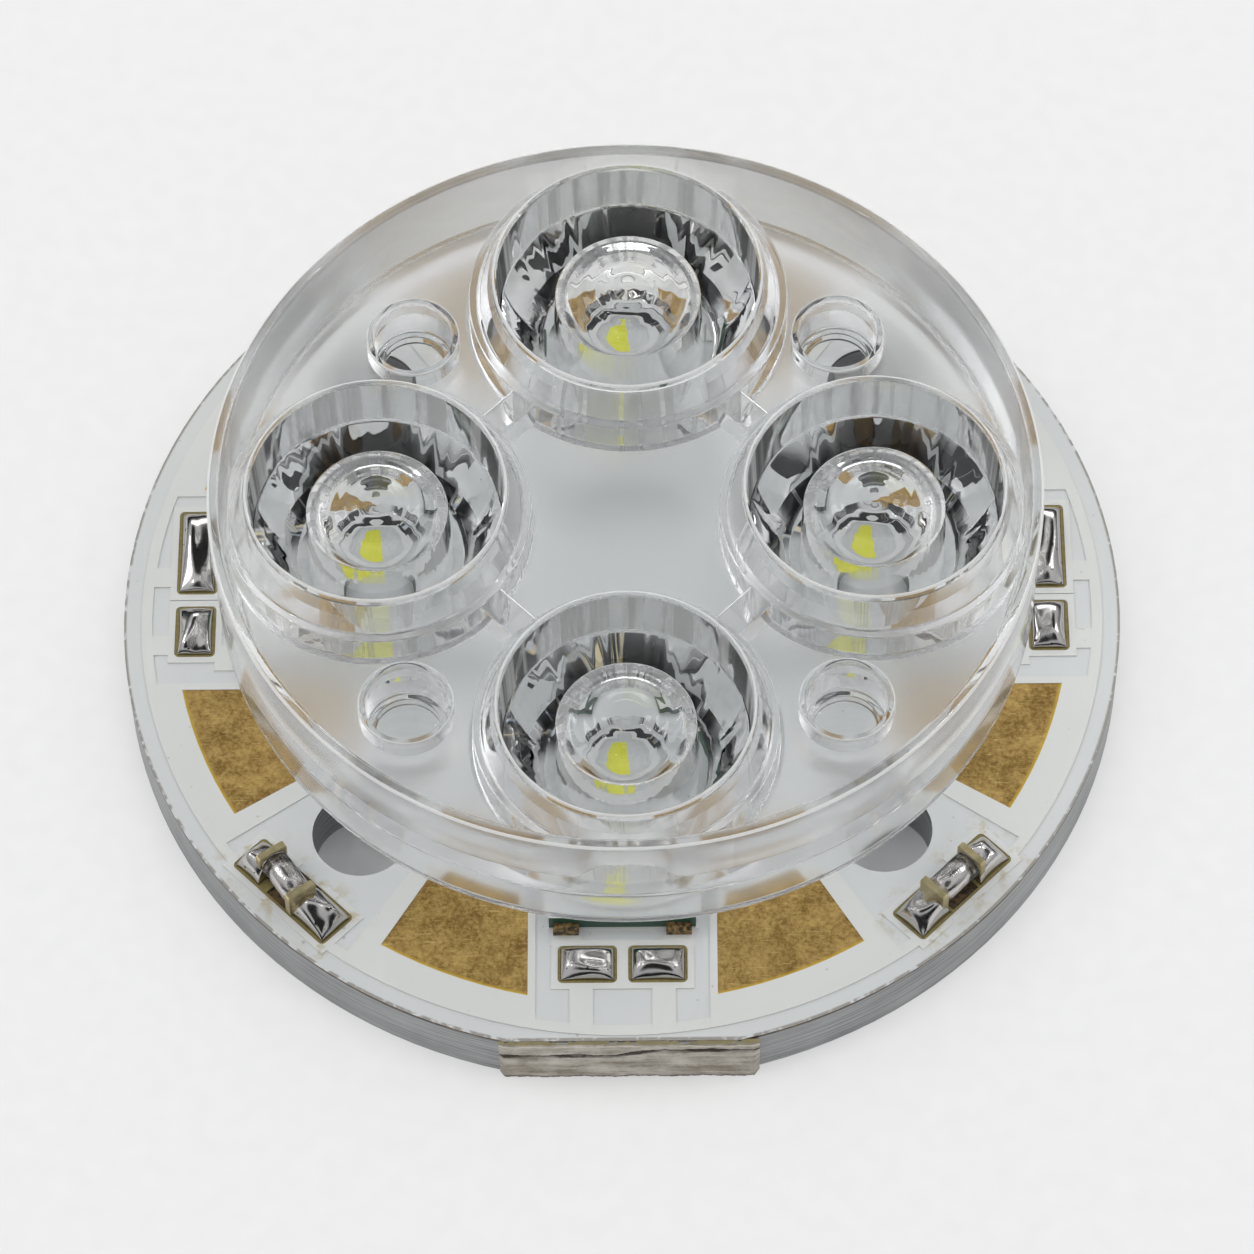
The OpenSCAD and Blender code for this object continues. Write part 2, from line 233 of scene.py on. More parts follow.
# %% The studio
def soft_box(name, place, size, power):
    """A rectangular lamp at a place in millimetres that looks at the board."""
    lamp = bpy.data.lights.new(name, "AREA")
    lamp.shape, lamp.size, lamp.size_y, lamp.energy = "RECTANGLE", size[0] * MM, size[1] * MM, power
    holder = bpy.data.objects.new(name, lamp)
    holder.location = Vector(place) * MM
    holder.rotation_euler = holder.location.to_track_quat("Z", "Y").to_euler()
    bpy.context.scene.collection.objects.link(holder)


soft_box("box_left", (-260, 90, 240), (150, 110), 0.2)
soft_box("box_right", (250, 110, 250), (150, 110), 0.19)
soft_box("box_back", (10, 320, 190), (260, 80), 0.17)
soft_box("pin_left", (-150, -30, 280), (16, 16), 0.02)
soft_box("pin_right", (130, 60, 300), (16, 16), 0.02)

world = bpy.data.worlds.new("surround")
bpy.context.scene.world = world
world.use_nodes = True
sky = Paint(world.node_tree)
east, north, height = sky.parts(sky.node("ShaderNodeTexCoord", out="Generated"))
overhead = height.step(-0.1, 0.9)
from_strip = abs(height - 0.12)
dark_front = (1 - from_strip.step(0.2, 0.36)) * (0 - north).step(0.2, 0.75)
dark_rear = (1 - from_strip.step(0.08, 0.3)) * north.step(0.35, 0.8)
dark_patches = (height * math.sin(pitch) + abs(north) * math.cos(pitch)).step(0.9, 0.965)
tone = sky.mix(overhead, rgb(168, 170, 173), rgb(214, 215, 217))
tone = sky.mix(dark_front.most(dark_rear).most(dark_patches) * 0.97, tone, rgb(12, 13, 15))
camera_ray, diffuse_ray = sky.rays("Is Camera Ray", "Is Diffuse Ray")
background = sky.mix(diffuse_ray, tone, rgb(222, 222, 222))
background = sky.mix(camera_ray, background, rgb(240, 240, 240))
sky.node("ShaderNodeOutputWorld", None, sky.node("ShaderNodeBackground", None, background, 1.0))

# The floor is seen at about its own colour wherever a camera, glossy or transmitted ray meets it,
# except under the board, and it takes the object's shadow everywhere
floor_mesh = bpy.data.meshes.new("floor")
half_floor = 1.5
floor_mesh.from_pydata(
    [(-half_floor, -half_floor, 0), (half_floor, -half_floor, 0),
     (half_floor, half_floor, 0), (-half_floor, half_floor, 0)], [], [(0, 1, 2, 3)]
)
floor = bpy.data.objects.new("floor", floor_mesh)
floor.location.z = -0.02 * MM
bpy.context.scene.collection.objects.link(floor)
paper, paint = new_finish("pale_paper")
grain = paint.noise(paint.place(), 900.0, 0.0)
tone = paint.mix(grain, rgb(238, 238, 238), rgb(242, 242, 242))
lit = paint.node("ShaderNodeBsdfDiffuse", None, tone)
seen, mirrored, through = paint.rays("Is Camera Ray", "Is Glossy Ray", "Is Transmission Ray")
x, y, z = paint.axes(paint.place())
clear_of_board = (x * x + y * y).root().step(22.0, 27.0)
plain = paint.node("ShaderNodeEmission", None, tone, 1.0)
share = seen.most(mirrored).most(through) * clear_of_board * 0.75
paint.node("ShaderNodeOutputMaterial", None, paint.node("ShaderNodeMixShader", None, share, lit, plain))
floor_mesh.materials.append(paper)
print("studio:", len(bpy.data.lights), "lamps and a pale surround")

# %% [markdown]
# ## Making surfaces with numpy
# Most of the new pieces are solids of revolution or sheets over a grid. A grid of points with
# `rows` and `cols` gives its faces by arithmetic on the indices alone, so whole arrays go into the
# mesh at once.

# %% Mesh helpers
def grid_quads(rows, cols, wrap=False):
    """Faces of a grid whose vertex (i, j) has number i * cols + j; wrap joins the last column to
    the first."""
    i = np.arange(rows - 1)[:, None]
    j = np.arange(cols if wrap else cols - 1)[None, :]
    ahead = (j + 1) % cols
    corners = [i * cols + j, i * cols + ahead, (i + 1) * cols + ahead, (i + 1) * cols + j]
    return np.stack(np.broadcast_arrays(*corners), axis=-1).reshape(-1, 4)


def new_piece(name, points, quads, triangles=()):
    """An object from points in millimetres, four-sided faces and triangles."""
    quads = np.asarray(quads, np.int32).reshape(-1, 4)
    triangles = np.asarray(triangles, np.int32).reshape(-1, 3)
    corners = np.concatenate([quads.ravel(), triangles.ravel()])
    starts = np.concatenate([np.arange(len(quads)) * 4, len(quads) * 4 + np.arange(len(triangles)) * 3])
    mesh = bpy.data.meshes.new(name)
    mesh.vertices.add(len(points))
    mesh.vertices.foreach_set("co", (np.asarray(points, float) * MM).ravel())
    mesh.loops.add(len(corners))
    mesh.loops.foreach_set("vertex_index", corners.astype(np.int32))
    mesh.polygons.add(len(starts))
    mesh.polygons.foreach_set("loop_start", starts.astype(np.int32))
    mesh.polygons.foreach_set("use_smooth", np.ones(len(starts), bool))
    mesh.update(calc_edges=True)
    piece = bpy.data.objects.new(name, mesh)
    bpy.context.scene.collection.objects.link(piece)
    return piece


def soften(corners, steps=5):
    """A line through corners (x, y, reach), each rounded by a parabola that starts and ends
    `reach` away from the corner: (1-t)^2 a + 2t(1-t) p + t^2 b."""
    corners = np.asarray(corners, float)
    p, reach = corners[:, :2], corners[:, 2:]
    to_last, to_next = np.roll(p, 1, axis=0) - p, np.roll(p, -1, axis=0) - p
    unit_last = to_last / np.linalg.norm(to_last, axis=1, keepdims=True).clip(1e-9)
    unit_next = to_next / np.linalg.norm(to_next, axis=1, keepdims=True).clip(1e-9)
    a, b = p + unit_last * reach, p + unit_next * reach
    t = np.linspace(0, 1, steps + 1)[:, None, None]
    line = ((1 - t) ** 2 * a + 2 * t * (1 - t) * p + t ** 2 * b).transpose(1, 0, 2).reshape(-1, 2)
    apart = np.linalg.norm(np.diff(line, axis=0), axis=1) > 1e-5
    return line[np.concatenate([[True], apart])]


def lathe(name, line, steps, centre=(0, 0), ripple=0):
    """A closed solid of revolution: the line (radius, height) runs from the axis at the bottom,
    outwards and up, back to the axis. Each inner point becomes a ring, each end a pole. A ripple
    adds to the radius, by ring and by angle."""
    inner = line[1:-1]
    angle = np.linspace(0, 2 * np.pi, steps, endpoint=False)
    radius = inner[:, :1] + ripple
    x = centre[0] + radius * np.cos(angle)
    y = centre[1] + radius * np.sin(angle)
    rings = np.stack([x, y, np.broadcast_to(inner[:, 1:], x.shape)], axis=-1).reshape(-1, 3)
    poles = [[*centre, line[0][1]], [*centre, line[-1][1]]]
    here, ahead = np.arange(steps), (np.arange(steps) + 1) % steps
    last = (len(inner) - 1) * steps
    low = np.stack([np.full(steps, len(rings)), ahead, here], axis=-1)
    high = np.stack([np.full(steps, len(rings) + 1), last + here, last + ahead], axis=-1)
    quads = grid_quads(len(inner), steps, wrap=True)
    return new_piece(name, np.concatenate([rings, poles]), quads, np.concatenate([low, high]))


def bar(name, section, ends):
    """A closed bar: a closed section, an array (n, 3) given at each of several stations along the
    bar, with a fan of triangles over each end."""
    n = section.shape[1]
    points = np.concatenate([section.reshape(-1, 3), ends])
    here, ahead = np.arange(n), (np.arange(n) + 1) % n
    last = (section.shape[0] - 1) * n
    low = np.stack([np.full(n, len(points) - 2), ahead, here], axis=-1)
    high = np.stack([np.full(n, len(points) - 1), last + here, last + ahead], axis=-1)
    quads = grid_quads(section.shape[0], n, wrap=True)
    return new_piece(name, points, quads, np.concatenate([low, high]))


def crease(piece, degrees):
    """Shades a piece smooth, except over level faces and over edges that bend by more than the
    angle."""
    normals = np.empty(len(piece.data.polygons) * 3)
    piece.data.polygons.foreach_get("normal", normals)
    piece.data.polygons.foreach_set("use_smooth", abs(normals[2::3]) < 0.99999)
    piece.data.set_sharp_from_angle(angle=math.radians(degrees))

# %% [markdown]
# ## The clear tray
# On the real part this is one moulding: a round wall, a floor, four pots with lenses, four small
# cups and four ribs. Clear plastic bends light at every surface, so the inside of the model must
# be free of hidden walls. Each feature is turned or extruded as a solid of its own, then Boolean
# modifiers join them and cut the pockets. The edges are rounded by a tenth of a millimetre, which
# catches bright rings on the rims, and the finish adds a painted highlight along them as well. Each
# reflector stands free in its pot with a narrow air gap round it, which is what makes its flank a
# mirror. The photograph shows the rear lens a little wider and further out, and the front one
# narrower.

# %% Measures of the tray
seat, under, floor_top, top = 4.2, 9.4, 10.9, 14.8
foot, pot_top, face = 7.4, 12.6, 14.5
shift, pitch_r = 0.3, 12.16
wall_r, pot_r, cone_r, face_r = 20.35, 7.65, 7.25, 6.45
foot_z, gap_top = seat + 0.015, 13.95
spring, dome_rise, dome_wide = 11.2, 1.38, 3.48
LENSES = {
    "front": (shift, -pitch_r), "rear": (shift + 0.15, pitch_r + 0.4),
    "left": (shift - pitch_r, 0), "right": (shift + pitch_r, 0),
}
WIDTH = {"front": 0.965, "rear": 1.04, "left": 0.99, "right": 0.99}
cup_xy, cup_wall = 10.6, 2.33
CUPS = [(shift + sx * cup_xy, sy * cup_xy) for sx in (-1, 1) for sy in (-1, 1)]

# %% Turned and extruded parts of the tray
tray_line = soften([
    (0, under, 0), (19.2, under, 0.25), (19.45, foot, 0.12), (20.25, foot, 0.15),
    (wall_r, top, 0.2), (19.75, top, 0.2), (19.3, floor_top, 0.3), (0, floor_top, 0),
], 5)
tray = lathe("clear_tray", tray_line, 320, (shift, 0))

u = np.linspace(0, 1, 25)[:, None]
bowl = np.hstack([3.8 + 2.3 * u, seat + (under - seat) * u ** 1.7])
reflector_line = np.concatenate([
    [[0, foot_z], [3.6, foot_z], [3.8, foot_z]], bowl[1:],
    [[6.3, gap_top + 0.2], [0, gap_top + 0.2]],
])
gap_line = np.array([(0, under - 1), (7.05, under - 1), (7.0, under), (6.4, gap_top), (0, gap_top)])
pot_line = soften([
    (0, under + 0.4, 0), (7.6, under + 0.4, 0), (7.9, floor_top - 0.02, 0),
    (pot_r, floor_top + 0.2, 0.1), (pot_r, pot_top, 0.1), (cone_r, pot_top, 0.12),
    (face_r, face, 0.12), (0, face, 0),
])
swing = np.linspace(0, np.pi / 2, 33)[:, None]
ceiling = np.hstack([dome_wide * np.cos(swing), spring + dome_rise * np.sin(swing) ** 1.3])
ceiling[:, 1] += 0.012 * np.sin(9 * ceiling[:, 0])  # rings that the turning tool left
ceiling[-1, 0] = 0
pocket_line = np.concatenate([[[0, seat - 1], [3.55, seat - 1], [3.55, seat]], ceiling])
cup_line = soften([(0, 7.6, 0), (cup_wall, 7.6, 0.12), (cup_wall, 12.0, 0.12), (0, 12.0, 0)])
bore_line = soften([
    (0, 9.0, 0), (1.65, 9.0, 0.1), (1.65, 9.5, 0.08), (1.95, 9.5, 0.08), (1.95, 11.85, 0.1),
    (2.08, 12.05, 0), (2.08, 12.5, 0), (0, 12.5, 0),
])
print("reflector line:", len(reflector_line), "points; pot line:", len(pot_line), "points")

# %% Flutes on the reflectors
FLUTE_STEPS, LENS_STEPS = 256, 192
uneven = np.random.default_rng(11)


def flutes():
    """Uneven flutes down a reflector, about a hundredth of a millimetre deep: three seeded waves of
    noise round the axis, each shorter and lower than the one before, faded out at the foot."""
    height = reflector_line[1:-1, 1:]
    depth = np.interp(height, [foot_z, 4.6, under, gap_top], [0, 1, 1, 0.4])
    angle = np.linspace(0, 2 * np.pi, FLUTE_STEPS, endpoint=False)
    wave = 0
    for knots, size in ((44, 0.014), (88, 0.009), (128, 0.005)):
        values = uneven.uniform(-1, 1, knots)
        at_knots = np.linspace(0, 2 * np.pi, knots + 1)
        wave = wave + size * np.interp(angle, at_knots, [*values, values[0]])
    return depth * wave


def at_each_lens(name, line, steps, ripple=lambda: 0):
    """The same solid of revolution at all four lenses, as wide as each lens is."""
    return [
        lathe(f"{name}_{side}", line * (WIDTH[side], 1), steps, at, ripple())
        for side, at in LENSES.items()
    ]


added = at_each_lens("pot", pot_line, LENS_STEPS)
gaps = at_each_lens("gap", gap_line, LENS_STEPS)
cones = at_each_lens("reflector", reflector_line, FLUTE_STEPS, flutes)
added += [lathe(f"cup_{k}", cup_line, 72, at) for k, at in enumerate(CUPS)]
cut = at_each_lens("pocket", pocket_line, 128)
cut += [lathe(f"bore_{k}", bore_line, 72, at) for k, at in enumerate(CUPS)]


def rib(name, degrees):
    """A bar of 1.5 mm width between two neighbouring pots, with softened top edges."""
    half, low, high = 0.75, floor_top - 0.75, pot_top - 0.12
    section = soften([(half, low, 0), (half, high, 0.12), (-half, high, 0.12), (-half, low, 0)])
    out, span = pitch_r * math.sqrt(0.5) - 0.4, 1.7
    along = np.array([-span, span])[:, None]
    a = math.radians(degrees)
    x = out + section[None, :, 0] + 0 * along
    y = along + 0 * x
    z = section[None, :, 1] + 0 * x
    east = shift + x * math.cos(a) - y * math.sin(a)
    north = x * math.sin(a) + y * math.cos(a)
    turned = np.stack([east, north, z], axis=-1)
    return bar(name, turned, turned.mean(axis=1))


added += [rib(f"rib_{degrees}", degrees) for degrees in (45, 135, 225, 315)]
print("tray:", len(added + cones), "solids to join and", len(gaps + cut), "to cut")

# %% Joining the tray into one solid
def combine(target, others, operation):
    """Joins or cuts with a whole collection, keeps the result as the target's mesh and clears away
    the solids that were used."""
    group = bpy.data.collections.new(operation)
    for other in others:
        group.objects.link(other)
    modifier = target.modifiers.new(operation, "BOOLEAN")
    modifier.operation, modifier.operand_type, modifier.collection = operation, "COLLECTION", group
    modifier.solver = "MANIFOLD"
    seen_by = bpy.context.evaluated_depsgraph_get()
    result = bpy.data.meshes.new_from_object(target.evaluated_get(seen_by))
    target.modifiers.clear()
    target.data = result
    for other in others:
        bpy.data.objects.remove(other)
    bpy.data.collections.remove(group)


combine(tray, added, "UNION")
combine(tray, gaps, "DIFFERENCE")
combine(tray, cones, "UNION")
combine(tray, cut, "DIFFERENCE")
crease(tray, 24)
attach(tray, "root")
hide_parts("lens_tray")
print("tray:", len(tray.data.polygons), "faces in one solid")

# %% [markdown]
# ## The finish of the tray
# Clear acrylic: a glass shader with an index of 1.49. The floor, the skirt and the wall are
# slightly frosted; everything that guides light is polished. Glass shades its surroundings too
# darkly in a path tracer without caustics, so for shadow rays the shader turns into a plain
# see-through one. A pale body on the frost, painted highlights on the rims, a painted sheen on the
# reflectors' cones and a painted dark reflection round their feet are mixed in. Which part of the
# tray is frosted or carries painted light follows from the place alone, so numpy works it out once
# for each face and stores it in the mesh, where the shader reads it.

# %% Clear plastic
def clear(name, roughness, index, tint=(1, 1, 1, 1), shade=(0.93, 0.94, 0.95, 1), recipe=None):
    """A glass finish whose shadow is light. A recipe sets the roughness and adds a body: pale where the
    glass is frosted, and painted highlights and painted dark reflections where it places them.
    """
    material, paint = new_finish(name)
    body = tone = None
    if recipe:
        roughness, body, tone = recipe(paint)
    result = paint.node(
        "ShaderNodeBsdfPrincipled", {"distribution": "GGX"}, Base_Color=tint, Roughness=roughness,
        IOR=index, Transmission_Weight=1.0
    )
    if body:
        frost_and_painted_light = paint.node("ShaderNodeBsdfPrincipled", None, Base_Color=tone, Roughness=0.9)
        result = paint.node("ShaderNodeMixShader", None, body, result, frost_and_painted_light)
    shadow = paint.node("ShaderNodeLightPath", out="Is Shadow Ray")
    pale = paint.node("ShaderNodeBsdfTransparent", None, shade)
    result = paint.node("ShaderNodeMixShader", None, shadow, result, pale)
    paint.node("ShaderNodeOutputMaterial", None, result)
    return material


def nearest_lens(x, y):
    """Places seen from the axis of the nearest lens: the direction (c, s) and the distance r from
    that axis, the lens's width and a number of its own. The tray's diagonals split it in four."""
    east = x - shift
    which = np.where(abs(east) > abs(y), np.where(east > 0, 3, 2), np.where(y > 0, 1, 0))
    centres = np.array([*LENSES.values()])[which]
    dx, dy = x - centres[:, 0], y - centres[:, 1]
    r = np.hypot(dx, dy).clip(0.01)
    return dx / r, dy / r, r, np.array([*WIDTH.values()])[which], centres.sum(axis=1)


def ramp(value, low, high):
    """The smooth step 3t^2 - 2t^3 from 0 at low to 1 at high."""
    t = ((value - low) / (high - low)).clip(0, 1)
    return t * t * (3 - 2 * t)


def positions(items, name):
    """The places of a mesh's faces or points, in millimetres, as three arrays."""
    places = np.empty(len(items) * 3)
    items.foreach_get(name, places)
    return places.reshape(-1, 3).T / MM


def store(mesh, name, domain, *values):
    """Writes three numbers for each face or point into the mesh, for the shader to read."""
    layer = mesh.attributes.new(name, "FLOAT_VECTOR", domain)
    layer.data.foreach_set("vector", np.stack(values, axis=-1).astype(np.float32).ravel())


# %% Regions of the tray
x, y, z = positions(tray.data.polygons, "center")
c, s, r, width, _ = nearest_lens(x, y)
radius = np.hypot(x - shift, y)
# Frost: both faces of the floor, the skirt and wall, the pots and the walls of the pockets
on_floor = (abs(z - floor_top) < 0.03) | (abs(z - under) < 0.03)
on_wall = ramp(radius, 18.9, 19.2) * (z < 14.7) * (ramp(y, -6.0, 12.0) * 0.2 + 0.3)
shoulder = (face - z) * 0.42 + face_r * width - 0.12
on_pot = (r > shoulder) & (r < 8.3) & (z > floor_top) & (z < 14.3)
in_pocket = (r < 3.75) & (z > 8.0) & (z < 11.15)
rough = np.maximum(on_floor * 1.0, on_wall)
frost = np.maximum.reduce([rough, on_pot * 0.5, in_pocket * 0.8])
# Painted highlights: pale lines on the rounded rims of the wall, the lenses and the cups
cup_r = np.hypot(abs(x - shift) - cup_xy, abs(y) - cup_xy)
rim_highlights = (abs(radius - wall_r + 0.05) < 0.1) & (z > top - 0.12)
rim_highlights |= (abs(r - face_r * width) < 0.07) & (z > face - 0.14)
rim_highlights |= (abs(cup_r - cup_wall + 0.04) < 0.06) & (z > 11.85)
# Painted sheen on the reflectors' upper, conical part, and a painted dark reflection on the seat
# round their feet, on the rear side
cone_sheen = (abs(r - 6.2 * width) < 0.16) & (z > under + 0.05) & (z < 13.9)
seat_dark_reflection = (r > 4.3) & (r < 5.4) & (z < 5.8) & (z > 4.7)
seat_dark_reflection = seat_dark_reflection * ramp(s, 0.25, 0.5) * ramp(abs(c), 0.1, 0.4)
# Two vectors hold the five regions, because each one that the shader reads costs render time
store(tray.data, "frost_rimlight_sheen", "FACE", frost, rim_highlights, cone_sheen)
store(tray.data, "reflection_rough", "FACE", seat_dark_reflection, rough, 0 * rough)
# The direction from the lens's axis, in which noise draws the streaks of the painted sheen and
# painted dark reflection that run down the reflector
x, y, z = positions(tray.data.vertices, "co")
c, s, r, _, seed = nearest_lens(x, y)
store(tray.data, "spin", "POINT", c * 7.0 + seed, s * 7.0, 0 * r)
print("frosted faces:", int((frost > 0).sum()), "of", len(frost))


# %% Acrylic
def acrylic(paint):
    """Roughness, share of body and its tone for every place of the tray: pale on the frost, a painted
    highlight on the rims, a painted sheen on the cones and a painted dark reflection on the seats.
    """
    def stored(name):
        return paint.node("ShaderNodeAttribute", {"attribute_name": name}, out="Vector")

    on_frost, on_rim_highlights, on_cone_sheen = paint.parts(stored("frost_rimlight_sheen"))
    on_seat_reflection, on_rough, _ = paint.parts(stored("reflection_rough"))
    reflection_streaks = paint.noise(stored("spin"), 1.0, 2.0, 0.6)
    cloud = paint.noise(paint.place(), 150.0, 2.0) * 0.28
    # Painted sheen: a pale body with streaks on the reflectors' cones
    painted_sheen = on_cone_sheen * (0.2 + reflection_streaks.step(0.45, 0.65) * 0.6)
    # Painted dark reflection on the seats, broken by narrow gaps
    painted_dark_reflection = on_seat_reflection * (1 - reflection_streaks.step(0.56, 0.62))
    body = (on_frost * cloud).most(on_rim_highlights * 0.8).most(painted_dark_reflection * 0.9).most(painted_sheen)
    tone = paint.mix(painted_dark_reflection, rgb(232, 232, 231), rgb(6, 6, 7))
    return on_rough * 0.42, body, tone


tray.data.materials.clear()
tray.data.materials.append(clear("clear_acrylic", 0.0, 1.49, recipe=acrylic))

# %% [markdown]
# ## Emitters
# Each emitter is a dark green ceramic plate with a white frame, a yellow phosphor and a clear
# silicone dome. The plates and frames stay as they are in the model. The domes are turned again
# with many more rings, because the lens above magnifies every facet. In the photograph the far half
# of each reflector mirrors something dark, with narrow glints, so the frames and plates carry a
# painted reflection: near black streaks with painted glints on the side that the reflector shows.
# The right part of each phosphor is painted over in the pale plate tone, where a reflection hides it.

# %% Domes and phosphors
EMITTERS = {
    "front": (0, -pitch_r), "rear": (0, pitch_r), "left": (-pitch_r, 0), "right": (pitch_r, 0),
}
dome_r, ring_top, phosphor_r = 2.2, seat + 0.8, 1.3
swing = np.linspace(0, np.pi / 2, 25)[:, None]
dome_line = np.concatenate([
    [[0, seat + 0.01], [dome_r - 0.02, seat + 0.01]],
    np.hstack([(dome_r - 0.02) * np.cos(swing), ring_top + dome_r * np.sin(swing)]),
])
dome_line[-1, 0] = 0
silicone = clear("clear_silicone", 0.0, 1.41)
for side, at in EMITTERS.items():
    dome = lathe(f"dome_{side}", dome_line, 96, at)
    crease(dome, 40)
    dome.data.materials.append(silicone)
    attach(dome, "root")
    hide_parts(f"led_dome_{side}")
print("4 domes of", len(dome.data.polygons), "faces")

phosphor_line = np.array([
    (0, seat + 0.02), (1.9, seat + 0.02), (1.9, seat + 0.2), (1.7, seat + 0.3), (0, seat + 0.3)
])
discs = [lathe(f"phosphor_{side}", phosphor_line, 64, at) for side, at in EMITTERS.items()]
for disc, side in zip(discs, EMITTERS):
    crease(disc, 30)
    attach(disc, "root")
    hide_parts(f"led_phosphor_{side}")

# %% Finishes of the emitters
def from_emitter(paint):
    """The place seen from the middle of the nearest emitter: offsets dx and dy, distance r, the
    height, and the direction as a vector for noise. The board's diagonals split it in four."""
    x, y, z = paint.axes(paint.place())
    sideways = abs(x) > abs(y)
    cx = sideways * ((x > 0.0) * (2 * pitch_r) - pitch_r)
    cy = (1 - sideways) * ((y > 0.0) * (2 * pitch_r) - pitch_r)
    dx, dy = x - cx, y - cy
    r = (dx * dx + dy * dy).root()
    spin = paint.joined(dx / r * 5.5 + cx, dy / r * 5.5 + cy, 0.0)
    return dx, dy, r, z, spin


def painted_reflection_streaks(paint, speck, spin):
    """A painted reflection: near black, with narrow bluish and yellowish painted glints that point at
    the emitter's middle.
    """
    streak = paint.noise(spin, 1.0, 2.0, 0.7)
    glint = paint.mix(speck.step(0.4, 0.6), rgb(190, 204, 226), rgb(240, 222, 176))
    return paint.mix(streak.step(0.6, 0.66), rgb(5, 5, 6), glint)


yellow, paint = new_finish("phosphor")
speck = paint.noise(paint.place(), 9000.0, 1.0)
dx, dy, r, z, spin = from_emitter(paint)
# Painted reflection: right of a slanted line the phosphor is painted in the pale plate tone, where a
# reflection hides it, so only its left part is yellow
patch = ((dx * dx * 2.2 + dy * dy).root() < phosphor_r) * (dx < 0.27 - dy * 0.12)
glow = paint.mix(speck, rgb(226, 228, 62), rgb(240, 238, 84))
plate = paint.mix(speck, rgb(196, 198, 196), rgb(222, 223, 220))
surface(paint, Base_Color=paint.mix(patch, plate, glow), Roughness=0.6)
for disc in discs:
    disc.data.materials.append(yellow)

white, paint = new_finish("emitter_frame")
speck = paint.noise(paint.place(), 4000.0, 1.0)
dx, dy, r, z, spin = from_emitter(paint)
# Painted reflection: the frame's low parts and the far side of its rim are streaked near black with
# painted glints
far = (dy / r).step(0.2, 0.5)
painted_dark_reflection = (z < 4.99).most((r > 2.65) * (r < 3.0) * ((dy / r) > 0.4))
painted_dark_reflection = painted_dark_reflection.least(1 - (r < 3.2) * (1 - far)).least(1 - (r < 2.5))
pale = paint.mix(speck, rgb(206, 206, 204), rgb(226, 226, 222))
reflection_streaks = painted_reflection_streaks(paint, speck, spin)
surface(paint, Base_Color=paint.mix(painted_dark_reflection, pale, reflection_streaks), Roughness=0.3)
dress(white, *[f"led_ring_{side}" for side in EMITTERS])

green, paint = new_finish("green_substrate")
speck = paint.noise(paint.place(), 3000.0, 2.0)
dx, dy, r, z, spin = from_emitter(paint)
side_green = paint.mix(speck, rgb(28, 62, 48), rgb(44, 84, 64))
# Painted reflection: a band of the plate's top on the far side is streaked near black with painted
# glints
painted_reflection_band = (r > 3.15) * (r < 3.66) * (dy / r).step(0.2, 0.5)
pale = paint.mix(speck, rgb(190, 192, 190), rgb(220, 221, 218))
top_tone = paint.mix(painted_reflection_band, pale, painted_reflection_streaks(paint, speck, spin))
surface(paint, Base_Color=paint.mix(z > 4.19, side_green, top_tone), Roughness=0.3)
dress(green, *[f"led_substrate_{side}" for side in EMITTERS])

torn, paint = new_finish("contact_solder")
speck = paint.noise(paint.place(), 5000.0, 3.0)
surface(
    paint, Base_Color=paint.mix(speck.step(0.35, 0.65), rgb(50, 44, 28), rgb(160, 130, 82)),
    Roughness=0.4, Metallic=0.4, Normal=paint.bump(speck, 0.1 * MM)
)
dress(torn, *[f"led_contacts_{side}" for side in EMITTERS])

# %% [markdown]
# ## Gold, flux and copper
# The copper shows through windows in the white mask. In the large sectors it has a dull gold
# finish with fine swirls from handling. Round the solder it is stained olive by flux. One material
# paints both, and decides by the place on the board which it is.

# %% Copper with gold and flux
gold, paint = new_finish("gold_finish")
at = paint.place()
x, y, z = paint.axes(at)
ax, ay = abs(x), abs(y)
along, across = ax.most(ay), ax.least(ay)
on_side = (ax > ay) * 1.0
reach_in = 3.8 + on_side * ((y > 0.0) * 2.7)
in_sector = (across > reach_in) * ((across / along) < 0.66)
radius = (x * x + y * y).root()
swirl = paint.noise(at, 700.0, 4.0, 0.7)
fine = paint.noise(at, 5200.0, 2.0, 0.7)
patch = paint.noise(at, 180.0, 1.0)
tone = (swirl * 0.55 + fine * 0.45).step(0.32, 0.68)
golden = paint.mix(tone, rgb(122, 92, 42), rgb(198, 166, 98))
golden = paint.mix(patch.step(0.45, 0.8) * 0.4, golden, rgb(168, 142, 86))
scratch = paint.noise(paint.scaled(at, (900.0, 9000.0, 900.0)), 1.0, 3.0, 0.7)
golden = paint.mix(scratch.step(0.58, 0.7) * 0.6, golden, rgb(222, 196, 128))
# Painted highlight: the gold is painted a brighter yellow along its outer edge, past 22.15 mm out
golden = paint.mix(radius.step(22.15, 22.4), golden, rgb(212, 178, 70))
olive = paint.mix(fine, rgb(108, 98, 54), rgb(162, 148, 96))
surface(
    paint, Base_Color=paint.mix(in_sector, olive, golden), Metallic=in_sector * 0.55 + 0.1,
    Roughness=0.62 - in_sector * (0.18 - fine * 0.1), Normal=paint.bump(fine, 0.012 * MM)
)
dress(gold, "copper_tracks")

# %% [markdown]
# ## The white mask
# A thin, glossy white lacquer. It sinks between the copper areas, which leaves a faint relief that
# the model already has, and looks a touch warmer over copper and bluer over the bare dielectric.
# Flux has left yellow-brown films beside the diodes.

